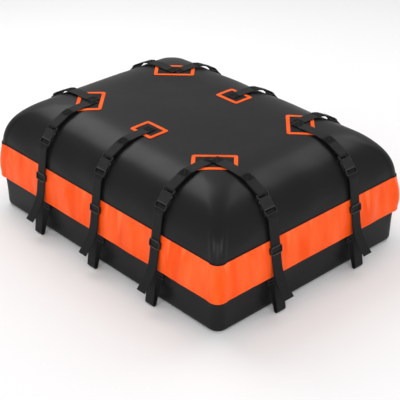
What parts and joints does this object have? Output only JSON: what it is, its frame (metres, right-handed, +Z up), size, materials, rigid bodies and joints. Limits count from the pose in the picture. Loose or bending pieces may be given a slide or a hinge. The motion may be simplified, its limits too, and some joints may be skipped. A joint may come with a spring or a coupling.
{
  "type": "roof cargo bag",
  "caption": "Filled, box-shaped soft roof bag with a domed top, a weather flap over its zip, and buckled webbing straps whose loops take roof rails.",
  "frame": {"origin": "middle of the base of the bag", "axes": "+X along the bag, +Z up, -Y out of the long side that the picture shows"},
  "size_m": [1.3172, 1.0192, 0.4355],
  "materials": {
    "coated_cloth": "satin coated cloth",
    "flap_vinyl": "satin orange vinyl",
    "patch_trim": "orange edge trim",
    "webbing": "woven webbing",
    "buckle_plastic": "moulded, fine texture",
    "zip": "moulded zip teeth on tape"
  },
  "bodies": {
    "bag": {"bag_body": "coated_cloth", "rain_flap": "flap_vinyl", "zip_chain": "zip", "patch_front_left": "patch_trim", "patch_rear_left": "patch_trim", "patch_front_right": "patch_trim", "patch_rear_right": "patch_trim", "patch_front_middle": "patch_trim", "patch_rear_middle": "patch_trim", "upper_webbing_front_left": "webbing", "lower_webbing_front_left": "webbing", "female_buckle_front_left": "buckle_plastic", "upper_webbing_front_middle": "webbing", "lower_webbing_front_middle": "webbing", "female_buckle_front_middle": "buckle_plastic", "upper_webbing_front_right": "webbing", "lower_webbing_front_right": "webbing", "female_buckle_front_right": "buckle_plastic", "upper_webbing_rear_left": "webbing", "lower_webbing_rear_left": "webbing", "female_buckle_rear_left": "buckle_plastic", "upper_webbing_rear_middle": "webbing", "lower_webbing_rear_middle": "webbing", "female_buckle_rear_middle": "buckle_plastic", "upper_webbing_rear_right": "webbing", "lower_webbing_rear_right": "webbing", "female_buckle_rear_right": "buckle_plastic", "upper_webbing_right_front": "webbing", "lower_webbing_right_front": "webbing", "female_buckle_right_front": "buckle_plastic", "upper_webbing_right_rear": "webbing", "lower_webbing_right_rear": "webbing", "female_buckle_right_rear": "buckle_plastic", "upper_webbing_left_front": "webbing", "lower_webbing_left_front": "webbing", "female_buckle_left_front": "buckle_plastic", "upper_webbing_left_rear": "webbing", "lower_webbing_left_rear": "webbing", "female_buckle_left_rear": "buckle_plastic"},
    "slider": {"zip_slider": "buckle_plastic"},
    "clip_front_left": {"male_buckle_front_left": "buckle_plastic"},
    "glide_front_left": {"tri_glide_front_left": "buckle_plastic"},
    "clip_front_middle": {"male_buckle_front_middle": "buckle_plastic"},
    "glide_front_middle": {"tri_glide_front_middle": "buckle_plastic"},
    "clip_front_right": {"male_buckle_front_right": "buckle_plastic"},
    "glide_front_right": {"tri_glide_front_right": "buckle_plastic"},
    "clip_rear_left": {"male_buckle_rear_left": "buckle_plastic"},
    "glide_rear_left": {"tri_glide_rear_left": "buckle_plastic"},
    "clip_rear_middle": {"male_buckle_rear_middle": "buckle_plastic"},
    "glide_rear_middle": {"tri_glide_rear_middle": "buckle_plastic"},
    "clip_rear_right": {"male_buckle_rear_right": "buckle_plastic"},
    "glide_rear_right": {"tri_glide_rear_right": "buckle_plastic"},
    "clip_right_front": {"male_buckle_right_front": "buckle_plastic"},
    "glide_right_front": {"tri_glide_right_front": "buckle_plastic"},
    "clip_right_rear": {"male_buckle_right_rear": "buckle_plastic"},
    "glide_right_rear": {"tri_glide_right_rear": "buckle_plastic"},
    "clip_left_front": {"male_buckle_left_front": "buckle_plastic"},
    "glide_left_front": {"tri_glide_left_front": "buckle_plastic"},
    "clip_left_rear": {"male_buckle_left_rear": "buckle_plastic"},
    "glide_left_rear": {"tri_glide_left_rear": "buckle_plastic"}
  },
  "joints": [
    {"name": "clip_slide_front_left", "type": "slide", "parent": "bag", "child": "clip_front_left", "axis": [0, -0.6072, -0.7946], "range_m": [0, 0.028], "deforming": ["lower_webbing_front_left"]},
    {"name": "clip_slide_front_middle", "type": "slide", "parent": "bag", "child": "clip_front_middle", "axis": [0, -0.6072, -0.7946], "range_m": [0, 0.028], "deforming": ["lower_webbing_front_middle"]},
    {"name": "clip_slide_front_right", "type": "slide", "parent": "bag", "child": "clip_front_right", "axis": [0, -0.6072, -0.7946], "range_m": [0, 0.028], "deforming": ["lower_webbing_front_right"]},
    {"name": "clip_slide_rear_left", "type": "slide", "parent": "bag", "child": "clip_rear_left", "axis": [0, 0.6072, -0.7946], "range_m": [0, 0.028], "deforming": ["lower_webbing_rear_left"]},
    {"name": "clip_slide_rear_middle", "type": "slide", "parent": "bag", "child": "clip_rear_middle", "axis": [0, 0.6072, -0.7946], "range_m": [0, 0.028], "deforming": ["lower_webbing_rear_middle"]},
    {"name": "clip_slide_rear_right", "type": "slide", "parent": "bag", "child": "clip_rear_right", "axis": [0, 0.6072, -0.7946], "range_m": [0, 0.028], "deforming": ["lower_webbing_rear_right"]},
    {"name": "clip_slide_right_front", "type": "slide", "parent": "bag", "child": "clip_right_front", "axis": [0.6072, 0, -0.7946], "range_m": [0, 0.028], "deforming": ["lower_webbing_right_front"]},
    {"name": "clip_slide_right_rear", "type": "slide", "parent": "bag", "child": "clip_right_rear", "axis": [0.6072, 0, -0.7946], "range_m": [0, 0.028], "deforming": ["lower_webbing_right_rear"]},
    {"name": "clip_slide_left_front", "type": "slide", "parent": "bag", "child": "clip_left_front", "axis": [-0.6072, 0, -0.7946], "range_m": [0, 0.028], "deforming": ["lower_webbing_left_front"]},
    {"name": "clip_slide_left_rear", "type": "slide", "parent": "bag", "child": "clip_left_rear", "axis": [-0.6072, 0, -0.7946], "range_m": [0, 0.028], "deforming": ["lower_webbing_left_rear"]},
    {"name": "glide_slide_front_left", "type": "slide", "parent": "bag", "child": "glide_front_left", "axis": [0, 0.1545, 0.988], "range_m": [-0.025, 0.025]},
    {"name": "glide_slide_front_middle", "type": "slide", "parent": "bag", "child": "glide_front_middle", "axis": [0, 0.1545, 0.988], "range_m": [-0.025, 0.025]},
    {"name": "glide_slide_front_right", "type": "slide", "parent": "bag", "child": "glide_front_right", "axis": [0, 0.1545, 0.988], "range_m": [-0.025, 0.025]},
    {"name": "glide_slide_rear_left", "type": "slide", "parent": "bag", "child": "glide_rear_left", "axis": [0, -0.1545, 0.988], "range_m": [-0.025, 0.025]},
    {"name": "glide_slide_rear_middle", "type": "slide", "parent": "bag", "child": "glide_rear_middle", "axis": [0, -0.1545, 0.988], "range_m": [-0.025, 0.025]},
    {"name": "glide_slide_rear_right", "type": "slide", "parent": "bag", "child": "glide_rear_right", "axis": [0, -0.1545, 0.988], "range_m": [-0.025, 0.025]},
    {"name": "glide_slide_right_front", "type": "slide", "parent": "bag", "child": "glide_right_front", "axis": [-0.1545, 0, 0.988], "range_m": [-0.025, 0.025]},
    {"name": "glide_slide_right_rear", "type": "slide", "parent": "bag", "child": "glide_right_rear", "axis": [-0.1545, 0, 0.988], "range_m": [-0.025, 0.025]},
    {"name": "glide_slide_left_front", "type": "slide", "parent": "bag", "child": "glide_left_front", "axis": [0.1545, 0, 0.988], "range_m": [-0.025, 0.025]},
    {"name": "glide_slide_left_rear", "type": "slide", "parent": "bag", "child": "glide_left_rear", "axis": [0.1545, 0, 0.988], "range_m": [-0.025, 0.025]},
    {"name": "zip_slide", "type": "slide", "parent": "bag", "child": "slider", "axis": [0, 1, 0], "range_m": [0, 0.68]}
  ]
}
